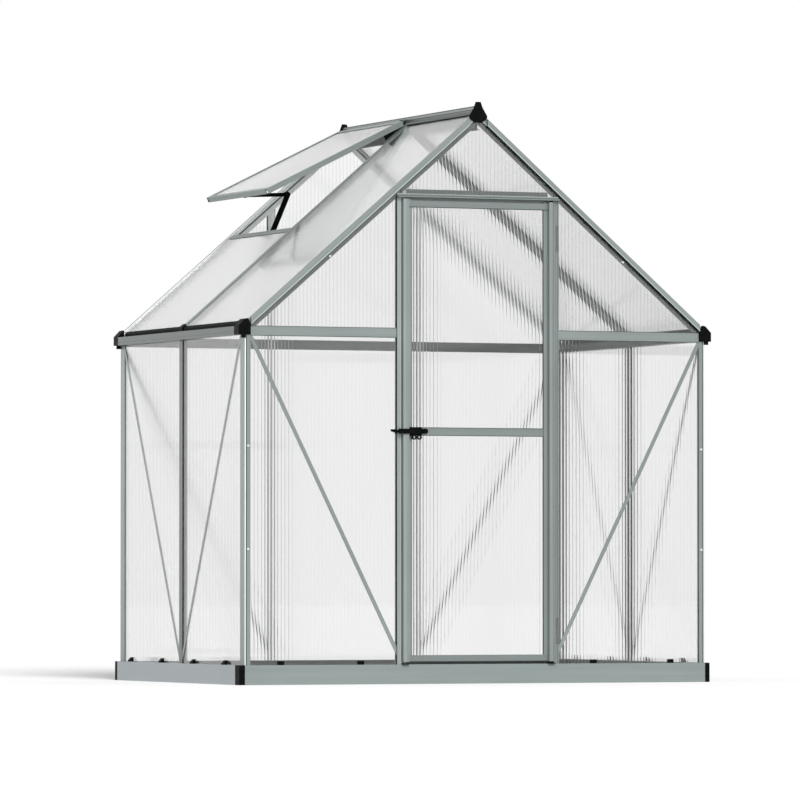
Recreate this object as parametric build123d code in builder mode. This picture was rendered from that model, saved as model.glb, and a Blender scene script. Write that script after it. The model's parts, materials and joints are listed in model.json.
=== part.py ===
"""Small hobby greenhouse: aluminium frame, twin-wall sheets, hinged door and roof vent.

Millimetres, +Z up, origin on the ground under the middle of the base.
The door is in the front gable, which faces -Y. The vent is drawn open.
"""

import os
from math import atan2, cos, degrees, hypot, radians, sin, sqrt, tan

from build123d import *

os.makedirs("parts", exist_ok=True)

# Overall sizes
base_width = 1840.0
base_depth = 1253.0
base_height = 70.0
eave_height = 1238.0
roof_pitch = 40.7
roof_over_eave = 41.9

# Stock sizes and clearances
wall = 2.0
sheet = 4.0
sheet_skin = 0.5
sheet_rib = 0.6
flute_pitch = 16.0
fit = 0.2
running_gap = 0.3

# Base rails and their corner connectors
base_steel = 2.0
base_gable_flange = 28.0
base_side_flange = 48.0
base_corner_gable_leg = 20.0
base_corner_side_leg = 44.0
base_corner_rear_leg = base_gable_flange
base_corner_round = 5.0
base_corner_body = 12.0
base_tongue = 20.0
base_tongue_thick = 6.0
anchor_hole_radius = 4.5
anchor_from_face = 15.0
anchor_spacing_x = 1500.0

# Posts
side_inset = 20.0
gable_inset = 4.5
post_side_leg = 43.0
post_gable_leg = 22.0
post_box_x = 10.0
post_box_y = 18.0
post_bevel = 3.2
tee_face = 34.0
tee_back = 26.0
tee_fin = 16.0
tee_bulb = 12.0
rear_post_x = 300.0

# Eaves
gutter_reach = 25.0
gutter_height = 30.0
gutter_pocket = 28.0
eave_beam_drop = 4.0
eave_beam_height = 36.0
seal_width = 10.6
seal_set_in = 3.0
cap_length = 40.0
cap_plate = 6.0
cap_in = 21.0
cap_rise = 58.0
cap_tongue = 12.0
cap_tongue_width = 16.0
clip_width = 32.0

# Roof bars, rafters and ridge
rafter_face = 20.0
rafter_proud = 11.0
rafter_roof_lip = 14.0
rafter_inner_lip = 30.0
rafter_web = 37.0
rafter_end_gap = 11.0
roof_bar_face = 28.0
roof_bar_back = 24.0
roof_bar_fin = 32.0
ridge_rise = 18.0
ridge_flange = 20.0
ridge_web = 3.0
ridge_drop = 66.0
ridge_bulb = 20.0
ridge_cap_thick = 5.0
ridge_cap_half = 34.5
ridge_cap_top = 32.0
ridge_cap_drop = 44.0
ridge_cap_foot = 28.0
ridge_cap_neck = 10.0

# Door opening
jamb_web_x = 299.0
jamb_edge = 317.0
jamb_bead = 3.0
jamb_back = 321.0
jamb_stop = 278.0
notch_low = 141.0
notch_below_header = 183.0
notch_length = 92.0
notch_depth = 10.0
header_below_roof = 45.5
header_face = 15.0
header_back = 31.0
header_stop = 18.0
header_lip = 14.0
header_lip_thick = 6.0

# Door
door_gap_under = 9.0
door_gap_over = 5.0
door_side_gap = 2.5
stile_radius = 11.0
stile_proud = 16.0
stile_inner_x = 274.0
stile_lip = 17.0
pivot_radius = 4.0
pivot_length = 22.0
pivot_collar_radius = 8.0
rail_height_top = 25.0
rail_height_bottom = 24.0
rail_height_middle = 30.0
rail_middle_z = 901.0
rail_drop_top = 4.0

# Door latch
latch_pivot_x = -240.0
latch_pivot_radius = 3.0
latch_plate_thick = 6.0
latch_plate_left = -272.0
latch_bar_height = 18.0
latch_bar_thick = 6.0
latch_knob_radius = 9.5
latch_knob_x = -216.0
latch_ring_radius = 9.0
latch_ring_hole = 4.5
latch_ring_drop = 21.0
latch_ring_spacing = 20.0
keeper_reach = 22.0
keeper_height = 7.0

# Roof vent and its stay
vent_open = 14.5
vent_front_y = 5.0
vent_rear_gap = 15.0
vent_length = 606.0
vent_rail_width = 18.0
vent_rail_height = 19.6
vent_seat_gap = 0.4
vent_wide_lip = 28.0
vent_neck = 10.0
vent_hinge_s = 11.8
vent_hinge_q = -12.6
vent_roll_radius = 3.0
vent_clip_length = 24.0
vent_sill_width = 22.0
vent_sill_lap = 7.8
vent_cheek_length = 80.0
vent_cheek_drop = 20.0
vent_cheek_thick = 3.0
stay_arm_thick = 4.0
stay_arm_width = 14.0
stay_lower_width = 20.0
stay_lower_length = 179.0
stay_upper_length = 167.0
stay_pin_radius = 2.5
stay_eye_radius = 9.5
stay_eye_hole = 6.5
stay_knob_radius = 12.0
stay_knob_thick = 11.0
stay_sill_back = 7.0
stay_sill_drop = 39.0
stay_vent_back = 30.2
stay_vent_drop = 14.4

# Braces, clips and bolts
brace_width = 14.0
brace_thick = 1.8
brace_foot = 24.0
panel_clip_width = 24.0
panel_clip_height = 14.0
panel_clip_thick = 5.0
side_clip_reach = 12.0
side_clip_height = 16.0
side_clip_edge = 4.0
bolt_head_radius = 4.5
bolt_head_height = 3.0
bolt_heights = (480.0, 845.0)
rafter_bolt_x = 574.0
rafter_bolt_q = 30.0

# Places worked out from the sizes above
half_width = base_width / 2
half_depth = base_depth / 2
side_face = half_width - side_inset
gable_face = half_depth - gable_inset
sheet_out = wall + fit
sheet_in = sheet_out + sheet
lip_near = sheet_in + fit
lip_far = lip_near + wall
pitch_sin = sin(radians(roof_pitch))
pitch_cos = cos(radians(roof_pitch))
pitch_tan = tan(radians(roof_pitch))
door_bottom = base_height + door_gap_under
pivot_x = jamb_web_x - door_side_gap - stile_radius
pivot_y = -gable_face - stile_proud + stile_radius
roof_sheet_x = side_face - seal_set_in - seal_width
roof_apex = eave_height + roof_over_eave + side_face * pitch_tan
eave_beam_bottom = eave_height - eave_beam_drop
header_bottom = roof_apex - jamb_edge * pitch_tan - header_below_roof
stile_top = header_bottom - door_gap_over
vent_rear_y = gable_face - vent_rear_gap
stay_y = (vent_front_y + vent_rear_y) / 2

# Section planes: x runs along a wall or roof edge, y goes into the house
front_wall = Plane(origin=(0, -gable_face, 0), x_dir=(1, 0, 0), z_dir=(0, 0, 1))
rear_wall = Plane(origin=(0, gable_face, 0), x_dir=(-1, 0, 0), z_dir=(0, 0, 1))
left_wall = Plane(origin=(-side_face, 0, 0), x_dir=(0, -1, 0), z_dir=(0, 0, 1))
left_slope = Plane(origin=(0, 0, roof_apex), x_dir=(0, 1, 0), z_dir=(-pitch_cos, 0, -pitch_sin))


def save(builder, name):
    """Label a finished piece and write it."""
    builder.part.label = name
    export_step(builder.part, f"parts/{name}.step")


def strip(x0, x1, y0, y1, mode=Mode.ADD):
    """Rectangle between two corners."""
    with Locations(((x0 + x1) / 2, (y0 + y1) / 2)):
        Rectangle(abs(x1 - x0), abs(y1 - y0), mode=mode)


def outline(*points, mode=Mode.ADD):
    """Closed polygon as a face."""
    Polygon(*points, align=None, mode=mode)


def block(x0, x1, y0, y1, z0, z1, mode=Mode.ADD):
    """Box between two corners."""
    with Locations(((x0 + x1) / 2, (y0 + y1) / 2, (z0 + z1) / 2)):
        Box(abs(x1 - x0), abs(y1 - y0), abs(z1 - z0), mode=mode)


def flutes(x0, x1, y0):
    """Section of a twin-wall sheet from x0 to x1, with its outer skin at y0."""
    count = int((x1 - x0 - 2 * sheet_rib) // flute_pitch)
    strip(x0, x1, y0, y0 + sheet)
    with Locations(((x0 + x1) / 2, y0 + sheet / 2)):
        with GridLocations(flute_pitch, flute_pitch, count, 1):
            Rectangle(flute_pitch - sheet_rib, sheet - 2 * sheet_skin, mode=Mode.SUBTRACT)


def tee(middle):
    """Section of a post between two sheets: face, web, back lip, fin and bulb."""
    strip(middle - tee_face / 2, middle + tee_face / 2, 0, wall)
    strip(middle - wall / 2, middle + wall / 2, 0, lip_far + tee_fin)
    strip(middle - tee_back / 2, middle + tee_back / 2, lip_near, lip_far)
    strip(middle - tee_bulb / 2, middle + tee_bulb / 2, lip_far + tee_fin - wall, lip_far + tee_fin)


def along_y(y):
    """Plane with x as X and y as Z, at this Y, drawn towards -Y."""
    return Plane.XZ.offset(-y)


def across_slope(y):
    """Plane with x down the left roof slope and y into the house, drawn towards -Y."""
    return Plane(origin=(0, y, roof_apex), x_dir=left_slope.z_dir, z_dir=(0, -1, 0))


def slope_point(s, q):
    """X and Z of a point s down the left slope and q below its outer face."""
    return (-s * pitch_cos + q * pitch_sin, roof_apex - s * pitch_sin - q * pitch_cos)


def roof_height(x):
    """Height of the roof's outer face above a distance x from the middle."""
    return roof_apex - x * pitch_tan


def roof_cut(q):
    """Plane q below the left slope's outer face, facing outwards."""
    x, z = slope_point(0, q)
    return Plane(origin=(x, 0, z), x_dir=(0, 1, 0), z_dir=(-pitch_sin, 0, pitch_cos))


def roof_cut_right(q):
    """Plane q below the right slope's outer face, facing outwards."""
    x, z = slope_point(0, q)
    return Plane(origin=(-x, 0, z), x_dir=(0, 1, 0), z_dir=(pitch_sin, 0, pitch_cos))


def mirrored(source, about):
    """A mirror copy of a finished piece."""
    with BuildPart() as copy:
        mirror(source.part, about=about)
    return copy


# Base rails: folded steel channels, open inwards, with anchor holes in the gable rails
rail_end_x = half_width - base_corner_gable_leg - fit
rail_end_y = half_depth - base_corner_side_leg - fit
rail_end_rear = half_depth - base_corner_rear_leg - fit
anchor_y = half_depth - anchor_from_face

with BuildPart() as base_rail_front:
    block(-rail_end_x, rail_end_x, -half_depth, -half_depth + base_steel, 0, base_height)
    block(-rail_end_x, rail_end_x, -half_depth, -half_depth + base_gable_flange, 0, base_steel)
    block(-rail_end_x, rail_end_x, -half_depth, -half_depth + base_gable_flange,
          base_height - base_steel, base_height)
    with Locations((-anchor_spacing_x / 2, -anchor_y, 0), (anchor_spacing_x / 2, -anchor_y, 0)):
        Cylinder(anchor_hole_radius, 3 * base_steel, mode=Mode.SUBTRACT)

with BuildPart() as base_rail_left:
    block(-half_width, -half_width + base_steel, -rail_end_y, rail_end_rear, 0, base_height)
    block(-half_width, -half_width + base_gable_flange, -rail_end_y, rail_end_rear, 0, base_steel)
    block(-half_width, -half_width + base_side_flange, -rail_end_y, rail_end_rear,
          base_height - base_steel, base_height)

save(base_rail_front, "base_rail_front")
save(mirrored(base_rail_front, Plane.XZ), "base_rail_rear")
save(base_rail_left, "base_rail_left")
save(mirrored(base_rail_left, Plane.YZ), "base_rail_right")

# Corner connectors: L-shaped mouldings with a tongue into each rail, shorter at the rear
tongue_set = base_steel + fit
with BuildPart() as base_corners:
    with BuildSketch(Plane.XY) as front_plan:
        strip(-half_width, -half_width + base_corner_gable_leg, -half_depth, -half_depth + base_corner_body)
        strip(-half_width, -half_width + base_corner_body, -half_depth, -half_depth + base_corner_side_leg)
        fillet(front_plan.vertices().sort_by(Axis((0, 0, 0), (1, 1, 0)))[0], base_corner_round)
    extrude(amount=base_height)
    with BuildSketch(Plane.XY) as rear_plan:
        strip(-half_width, -half_width + base_corner_gable_leg, half_depth - base_corner_body, half_depth)
        strip(-half_width, -half_width + base_corner_body, half_depth - base_corner_rear_leg, half_depth)
        fillet(rear_plan.vertices().sort_by(Axis((0, 0, 0), (1, -1, 0)))[0], base_corner_round)
    extrude(amount=base_height)
    block(-half_width + base_corner_body, -rail_end_x + base_tongue,
          half_depth - tongue_set - base_tongue_thick, half_depth - tongue_set,
          tongue_set, base_height - tongue_set)
    block(-half_width + tongue_set, -half_width + tongue_set + base_tongue_thick,
          rail_end_rear - base_tongue, half_depth - base_corner_body,
          tongue_set, base_height - tongue_set)
    block(-half_width + base_corner_body, -rail_end_x + base_tongue,
          -half_depth + tongue_set, -half_depth + tongue_set + base_tongue_thick,
          tongue_set, base_height - tongue_set)
    block(-half_width + tongue_set, -half_width + tongue_set + base_tongue_thick,
          -half_depth + base_corner_body, -rail_end_y + base_tongue,
          tongue_set, base_height - tongue_set)
    mirror(about=Plane.YZ)
save(base_corners, "base_corners")

# Corner posts: a bevelled box with a sheet channel on each wall
with BuildPart() as corner_post:
    with BuildSketch(Plane.XY.offset(base_height)):
        strip(-side_face, -side_face + wall, -gable_face, -gable_face + post_side_leg)
        strip(-side_face, -side_face + post_gable_leg, -gable_face, -gable_face + wall)
        strip(-side_face, -side_face + post_box_x, -gable_face, -gable_face + post_box_y)
        strip(-side_face + lip_near, -side_face + lip_far,
              -gable_face + post_box_y - wall, -gable_face + post_side_leg)
        strip(-side_face + post_box_x - wall, -side_face + post_gable_leg + wall,
              -gable_face + lip_near, -gable_face + lip_far)
        strip(-side_face + wall, -side_face + post_box_x - wall,
              -gable_face + wall, -gable_face + post_box_y - wall, mode=Mode.SUBTRACT)
        outline((-side_face, -gable_face), (-side_face + post_bevel, -gable_face),
                (-side_face, -gable_face + post_bevel), mode=Mode.SUBTRACT)
    extrude(amount=eave_height - base_height)
corner_post_right = mirrored(corner_post, Plane.YZ)
save(corner_post, "corner_post_front_left")
save(corner_post_right, "corner_post_front_right")
save(mirrored(corner_post, Plane.XZ), "corner_post_rear_left")
save(mirrored(corner_post_right, Plane.XZ), "corner_post_rear_right")

# Side mid posts
with BuildPart() as side_post_left:
    with BuildSketch(left_wall.offset(base_height)):
        tee(0)
    extrude(amount=eave_height - base_height)
save(side_post_left, "side_post_left")
save(mirrored(side_post_left, Plane.YZ), "side_post_right")

# Rear posts: they stop under the rafter face outside and under the rafter web inside
with BuildPart() as rear_posts:
    with BuildSketch(rear_wall.offset(base_height)):
        tee(rear_post_x)
    extrude(amount=roof_apex - base_height)
    split(bisect_by=roof_cut(rafter_face + fit), keep=Keep.BOTTOM)
    with BuildSketch(left_slope):
        strip(0, gable_face - sheet_out, 0, rafter_web + fit)
    extrude(amount=half_width / pitch_cos, mode=Mode.SUBTRACT)
    mirror(about=Plane.YZ)
save(rear_posts, "rear_posts")

# Gutters: trough outside, pocket for the wall sheets inside
gutter_end = gable_face - cap_length
gutter_top = eave_height + gutter_height
pocket_top = eave_height + gutter_pocket
with BuildPart() as gutter_left:
    with BuildSketch(along_y(gutter_end)):
        strip(-side_face - gutter_reach, -side_face, eave_height, eave_height + wall)
        strip(-side_face - gutter_reach, -side_face - gutter_reach + wall, eave_height, gutter_top)
        strip(-side_face, -side_face + wall, eave_height, gutter_top)
        strip(-side_face, -side_face + lip_far, pocket_top - wall, pocket_top)
        strip(-side_face + lip_near, -side_face + lip_far, eave_height + wall, pocket_top)
    extrude(amount=2 * gutter_end)
save(gutter_left, "gutter_left")
save(mirrored(gutter_left, Plane.YZ), "gutter_right")

# Eave seals: rubber wedges on the gutters that close off the roof sheets' lower ends
seal_out = side_face - seal_set_in
with BuildPart() as eave_seals:
    with BuildSketch(along_y(gutter_end)):
        outline((-seal_out, pocket_top), (-seal_out, roof_height(seal_out) - wall),
                (-roof_sheet_x - fit, roof_height(roof_sheet_x) - sheet_out),
                (-roof_sheet_x - fit, roof_height(roof_sheet_x) - sheet_in / pitch_cos),
                (-side_face + lip_far, pocket_top))
    extrude(amount=2 * gutter_end)
    mirror(about=Plane.YZ)
save(eave_seals, "eave_seals")

# Gutter end caps: a block on the gutter's end with a gabled plate across the corner
cap_out = side_face + gutter_reach
cap_top = eave_height + cap_rise
with BuildPart() as gutter_end_caps:
    with BuildSketch(along_y(-gable_face - fit)):
        outline((-cap_out, eave_height), (-cap_out, gutter_top + wall), (-side_face - wall, cap_top - wall),
                (-side_face + post_box_x, cap_top), (-side_face + cap_in, cap_top - post_box_y),
                (-side_face + cap_in, eave_height),
                (-side_face + wall, eave_height), (-side_face + wall, eave_height - cap_tongue),
                (-side_face + wall - cap_tongue_width, eave_height - cap_tongue),
                (-side_face + wall - cap_tongue_width, eave_height))
    extrude(amount=cap_plate)
    with BuildSketch(along_y(-gutter_end - fit)):
        outline((-cap_out, eave_height), (-cap_out, gutter_top + wall), (-side_face - wall, cap_top - wall),
                (-side_face - fit, cap_top - wall), (-side_face - fit, eave_height))
    extrude(amount=cap_length)
    mirror(about=Plane.YZ)
    mirror(about=Plane.XZ)
save(gutter_end_caps, "gutter_end_caps")

# Eave beams across the gables, flat against the sheets
eave_beam_top = eave_beam_bottom + eave_beam_height
with BuildPart() as eave_beams_front:
    block(-side_face + post_gable_leg + fit, -jamb_edge - fit, -gable_face, -gable_face + wall,
          eave_beam_bottom, eave_beam_top)
    mirror(about=Plane.YZ)
save(eave_beams_front, "eave_beams_front")

with BuildPart() as eave_beam_rear:
    block(-side_face + post_gable_leg + fit, -rear_post_x - tee_face / 2 - fit,
          gable_face - wall, gable_face, eave_beam_bottom, eave_beam_top)
    mirror(about=Plane.YZ)
    block(-rear_post_x + tee_face / 2 + fit, rear_post_x - tee_face / 2 - fit,
          gable_face - wall, gable_face, eave_beam_bottom, eave_beam_top)
save(eave_beam_rear, "eave_beam_rear")

# Ridge beam: ribbed cap over the roof, web and bulb below
web_end = gable_face - lip_far - fit
ridge_middle = (fit + wall / 2) / pitch_cos
with BuildPart() as ridge_beam:
    with BuildSketch(along_y(gable_face)):
        outline(slope_point(0, -fit), slope_point(ridge_flange, -fit),
                slope_point(ridge_flange, -fit - wall), (0, roof_apex + (fit + wall) / pitch_cos),
                (0, roof_apex + fit / pitch_cos))
        mirror(about=Plane.YZ)
        outline((-ridge_web * 2, roof_height(ridge_web * 2) + ridge_middle),
                (-ridge_web * 3, roof_apex + ridge_rise), (ridge_web * 3, roof_apex + ridge_rise),
                (ridge_web * 2, roof_height(ridge_web * 2) + ridge_middle),
                (0, roof_apex + ridge_middle))
    extrude(amount=2 * gable_face)
    block(-ridge_web / 2, ridge_web / 2, -web_end, web_end, roof_apex - ridge_drop, roof_apex + wall)
    block(-ridge_bulb / 2, ridge_bulb / 2, -web_end, web_end,
          roof_apex - ridge_drop - wall, roof_apex - ridge_drop)
save(ridge_beam, "ridge_beam")

# Ridge end caps
with BuildPart() as ridge_end_caps:
    with BuildSketch(along_y(-gable_face - fit)):
        outline((0, roof_apex + ridge_cap_top), (-ridge_web * 3, roof_apex + ridge_cap_top),
                (-ridge_cap_half / 2, roof_apex + ridge_cap_neck),
                (-ridge_cap_half, roof_apex - ridge_rise),
                (-ridge_cap_half, roof_apex - ridge_cap_foot),
                (-ridge_cap_neck, roof_apex - ridge_cap_drop),
                (0, roof_apex - ridge_cap_drop + ridge_web * 2))
        mirror(about=Plane.YZ)
    extrude(amount=ridge_cap_thick)
    mirror(about=Plane.XZ)
save(ridge_end_caps, "ridge_end_caps")

# Gable rafters: box proud of the gable sheet, web inside it, channel for the roof sheets
slope_length = half_width / pitch_cos
ridge_side = Plane.YZ.offset(-ridge_web / 2 - fit)
with BuildPart() as gable_rafters_front:
    with BuildSketch(left_slope.offset(-rafter_web)):
        strip(-gable_face, -gable_face + wall, 0, rafter_face)
        strip(-gable_face, -gable_face + rafter_roof_lip, 0, wall)
        strip(-gable_face + lip_near, -gable_face + lip_far, 0, rafter_web)
        strip(-gable_face + lip_near, -gable_face + rafter_inner_lip, lip_near, lip_far)
        strip(-gable_face - rafter_proud, -gable_face, 0, rafter_face)
        strip(-gable_face - rafter_proud + wall, -gable_face, wall, rafter_face - wall, mode=Mode.SUBTRACT)
    extrude(amount=slope_length + 2 * rafter_web)
    split(bisect_by=ridge_side, keep=Keep.BOTTOM)
    split(bisect_by=Plane.YZ.offset(-side_face + rafter_end_gap), keep=Keep.TOP)
    block(-ridge_cap_half - fit, 0, -gable_face - 2 * rafter_proud, -gable_face, eave_height, 2 * roof_apex,
          mode=Mode.SUBTRACT)
    block(-half_width, -side_face + cap_in + fit, -gable_face - 2 * rafter_proud, -gable_face, 0, roof_apex,
          mode=Mode.SUBTRACT)
    mirror(about=Plane.YZ)
save(gable_rafters_front, "gable_rafters_front")
save(mirrored(gable_rafters_front, Plane.XZ), "gable_rafters_rear")

# Roof bars between the roof sheets
with BuildPart() as roof_bar_left:
    with BuildSketch(left_slope.offset(-rafter_web)):
        strip(-roof_bar_face / 2, roof_bar_face / 2, 0, wall)
        strip(-wall / 2, wall / 2, 0, roof_bar_fin)
        strip(-roof_bar_back / 2, roof_bar_back / 2, lip_near, lip_far)
        strip(-tee_bulb / 2, tee_bulb / 2, roof_bar_fin - wall, roof_bar_fin)
    extrude(amount=slope_length + 2 * rafter_web)
    split(bisect_by=ridge_side, keep=Keep.BOTTOM)
    split(bisect_by=Plane.YZ.offset(-roof_sheet_x), keep=Keep.TOP)
save(roof_bar_left, "roof_bar_left")
save(mirrored(roof_bar_left, Plane.YZ), "roof_bar_right")

# Foot clips over the eave seals at the roof bars
clip_out = seal_out + fit
with BuildPart() as rafter_foot_clips:
    with BuildSketch(along_y(clip_width / 2)):
        outline((-clip_out - cap_plate, gutter_top + fit),
                (-clip_out - cap_plate, roof_height(seal_out) + wall),
                (-roof_sheet_x - fit, roof_height(roof_sheet_x) + cap_plate),
                (-roof_sheet_x - fit, roof_height(roof_sheet_x) - sheet_out + fit),
                (-clip_out, roof_height(seal_out) - wall + fit),
                (-clip_out, gutter_top + fit))
    extrude(amount=clip_width)
    mirror(about=Plane.YZ)
save(rafter_foot_clips, "rafter_foot_clips")

# Vent sill: carries the short roof sheet below the vent
sill_s = vent_hinge_s + vent_length - vent_sill_lap
sill_front_y = roof_bar_face / 2 + fit
sill_rear_y = gable_face - rafter_inner_lip - fit
with BuildPart() as vent_sill:
    with BuildSketch(across_slope(sill_rear_y)):
        strip(sill_s, sill_s + vent_sill_width, 0, wall)
        strip(sill_s, sill_s + wall, 0, lip_far)
        strip(sill_s, sill_s + vent_sill_width, lip_near, lip_far)
    extrude(amount=sill_rear_y - sill_front_y)
save(vent_sill, "vent_sill")

# Door jambs: face over the front sheets, web beside the door, stop behind it
stop_near = lip_far + 2 * fit
notch_high = header_bottom - notch_below_header
with BuildPart() as door_jamb_left:
    with BuildSketch(front_wall.offset(base_height)):
        strip(-jamb_edge, -jamb_web_x, 0, wall)
        strip(-jamb_edge, -jamb_edge + jamb_bead, -jamb_bead / 2, 0)
        strip(-jamb_web_x - wall, -jamb_web_x, 0, stop_near + wall)
        strip(-jamb_back, -jamb_web_x, lip_near, lip_far)
        strip(-jamb_web_x - wall, -jamb_stop, stop_near, stop_near + wall)
    extrude(amount=header_bottom - fit - base_height)
    with BuildSketch(left_slope):
        strip(-gable_face + sheet_out, 0, 0, rafter_web + fit)
    extrude(amount=slope_length, mode=Mode.SUBTRACT)

with BuildPart() as door_jamb_right:
    mirror(door_jamb_left.part, about=Plane.YZ)
    block(jamb_edge - notch_depth, jamb_edge + wall, -gable_face - wall, -gable_face + wall,
          notch_low, notch_low + notch_length, mode=Mode.SUBTRACT)
    block(jamb_edge - notch_depth, jamb_edge + wall, -gable_face - wall, -gable_face + wall,
          notch_high, notch_high + notch_length, mode=Mode.SUBTRACT)
save(door_jamb_left, "door_jamb_left")
save(door_jamb_right, "door_jamb_right")

# Door header: channel for the gable sheet, a lip that shelters the door and a stop behind it
header_top = header_bottom + header_back
header_stop_x = jamb_stop - fit
header_back_x = (roof_apex - (rafter_web + fit) / pitch_cos - header_top) / pitch_tan
with BuildPart() as door_header:
    block(-jamb_edge, jamb_edge, -gable_face, -gable_face + wall,
          header_bottom, header_bottom + header_face)
    block(-jamb_edge, jamb_edge, -gable_face - jamb_bead / 2, -gable_face,
          header_bottom + header_face - jamb_bead, header_bottom + header_face)
    block(-jamb_edge, jamb_edge, -gable_face - header_lip, -gable_face,
          header_bottom, header_bottom + header_lip_thick)
    block(-header_back_x, header_back_x, -gable_face, -gable_face + lip_far,
          header_bottom, header_bottom + wall)
    block(-header_back_x, header_back_x, -gable_face + lip_near, -gable_face + lip_far,
          header_bottom, header_top)
    block(-header_stop_x, header_stop_x, -gable_face, -gable_face + stop_near + wall,
          header_bottom, header_bottom + wall)
    block(-header_stop_x, header_stop_x, -gable_face + stop_near, -gable_face + stop_near + wall,
          header_bottom - header_stop, header_bottom + wall)
    split(bisect_by=roof_cut(rafter_face + fit), keep=Keep.BOTTOM)
    split(bisect_by=roof_cut_right(rafter_face + fit), keep=Keep.BOTTOM)
save(door_header, "door_header")

# Diagonal braces: flat strips on the outer face of the sheets
brace_near = wall - brace_thick
bay_left = -side_face + post_gable_leg + fit
bay_top = eave_beam_bottom - fit
bay_bottom = base_height + fit


def brace(x0, z0, x1, z1):
    """Flat strip between two points, as a polygon."""
    across = brace_width / 2 / hypot(x1 - x0, z1 - z0)
    side_x = (z1 - z0) * across
    side_z = (x0 - x1) * across
    outline((x0 - side_x, z0 - side_z), (x0 + side_x, z0 + side_z),
            (x1 + side_x, z1 + side_z), (x1 - side_x, z1 - side_z))


with BuildPart() as braces_front:
    with BuildSketch(along_y(-gable_face + wall)):
        brace(bay_left - brace_width / 2, bay_top + brace_width, -jamb_edge + brace_foot, bay_bottom)
        strip(bay_left, -jamb_edge - fit, bay_bottom, bay_top, mode=Mode.INTERSECT)
    extrude(amount=brace_thick)
    mirror(about=Plane.YZ)
save(braces_front, "braces_front")

with BuildPart() as braces_rear:
    with BuildSketch(along_y(gable_face - brace_near)):
        brace(bay_left - brace_width, bay_top + brace_width,
              -rear_post_x - tee_face / 2 + brace_foot, bay_bottom)
        strip(bay_left, -rear_post_x - tee_face / 2 - fit, bay_bottom, bay_top, mode=Mode.INTERSECT)
    extrude(amount=brace_thick)
    mirror(about=Plane.YZ)
save(braces_rear, "braces_rear")

side_bay_far = gable_face - post_side_leg - fit
side_bay_near = tee_face / 2 + fit
side_bay_top = eave_height - fit
with BuildPart() as braces_left:
    with BuildSketch(Plane.YZ.offset(-side_face + brace_near)):
        brace(-side_bay_far - brace_width, side_bay_top + brace_width,
              -side_bay_near + brace_width, bay_bottom)
        strip(-side_bay_far, -side_bay_near, bay_bottom, side_bay_top, mode=Mode.INTERSECT)
    extrude(amount=brace_thick)
    mirror(about=Plane.XZ)
save(braces_left, "braces_left")
save(mirrored(braces_left, Plane.YZ), "braces_right")

# Wall sheets
sheet_bottom = base_height + fit
side_sheet_top = pocket_top - wall - fit
side_sheet_end = gable_face - post_box_y - fit
gable_sheet_end = side_face - post_box_x - fit
sheet_roof_q = lip_near
with BuildPart() as side_panels_left:
    with BuildSketch(left_wall.offset(sheet_bottom)):
        flutes(wall / 2 + fit, side_sheet_end, sheet_out)
        flutes(-side_sheet_end, -wall / 2 - fit, sheet_out)
    extrude(amount=side_sheet_top - sheet_bottom)
save(side_panels_left, "side_panels_left")
save(mirrored(side_panels_left, Plane.YZ), "side_panels_right")

with BuildPart() as front_panel_left:
    with BuildSketch(front_wall.offset(sheet_bottom)):
        flutes(-gable_sheet_end, -jamb_web_x - wall - fit, sheet_out)
    extrude(amount=roof_apex - sheet_bottom)
    split(bisect_by=roof_cut(sheet_roof_q), keep=Keep.BOTTOM)
save(front_panel_left, "front_panel_left")
save(mirrored(front_panel_left, Plane.YZ), "front_panel_right")

with BuildPart() as gable_panel_front:
    with BuildSketch(front_wall.offset(header_bottom + wall + fit)):
        flutes(-jamb_web_x, jamb_web_x, sheet_out)
    extrude(amount=roof_apex - header_bottom)
    split(bisect_by=roof_cut(sheet_roof_q), keep=Keep.BOTTOM)
    split(bisect_by=roof_cut_right(sheet_roof_q), keep=Keep.BOTTOM)
save(gable_panel_front, "gable_panel_front")

with BuildPart() as rear_panels:
    with BuildSketch(rear_wall.offset(sheet_bottom)):
        flutes(-gable_sheet_end, -rear_post_x - wall / 2 - fit, sheet_out)
        flutes(-rear_post_x + wall / 2 + fit, rear_post_x - wall / 2 - fit, sheet_out)
        flutes(rear_post_x + wall / 2 + fit, gable_sheet_end, sheet_out)
    extrude(amount=roof_apex - sheet_bottom)
    split(bisect_by=roof_cut(sheet_roof_q), keep=Keep.BOTTOM)
    split(bisect_by=roof_cut_right(sheet_roof_q), keep=Keep.BOTTOM)
save(rear_panels, "rear_panels")

# Roof sheets
roof_sheet_edge = gable_face - lip_far - fit
roof_sheet_near = wall / 2 + fit
roof_sheet_foot = Plane.YZ.offset(-roof_sheet_x)
with BuildPart() as roof_panel_left_front:
    with BuildSketch(left_slope.offset(2 * sheet)):
        flutes(-roof_sheet_edge, -roof_sheet_near, sheet_out)
    extrude(amount=slope_length)
    split(bisect_by=roof_sheet_foot, keep=Keep.TOP)
save(roof_panel_left_front, "roof_panel_left_front")

with BuildPart() as roof_panel_left_rear:
    with BuildSketch(left_slope.offset(sill_s + wall + fit)):
        flutes(roof_sheet_near, roof_sheet_edge, sheet_out)
    extrude(amount=slope_length)
    split(bisect_by=roof_sheet_foot, keep=Keep.TOP)
save(roof_panel_left_rear, "roof_panel_left_rear")

with BuildPart() as roof_panels_right:
    mirror(roof_panel_left_front.part, about=Plane.YZ)
    mirror(about=Plane.XZ)
save(roof_panels_right, "roof_panels_right")

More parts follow.
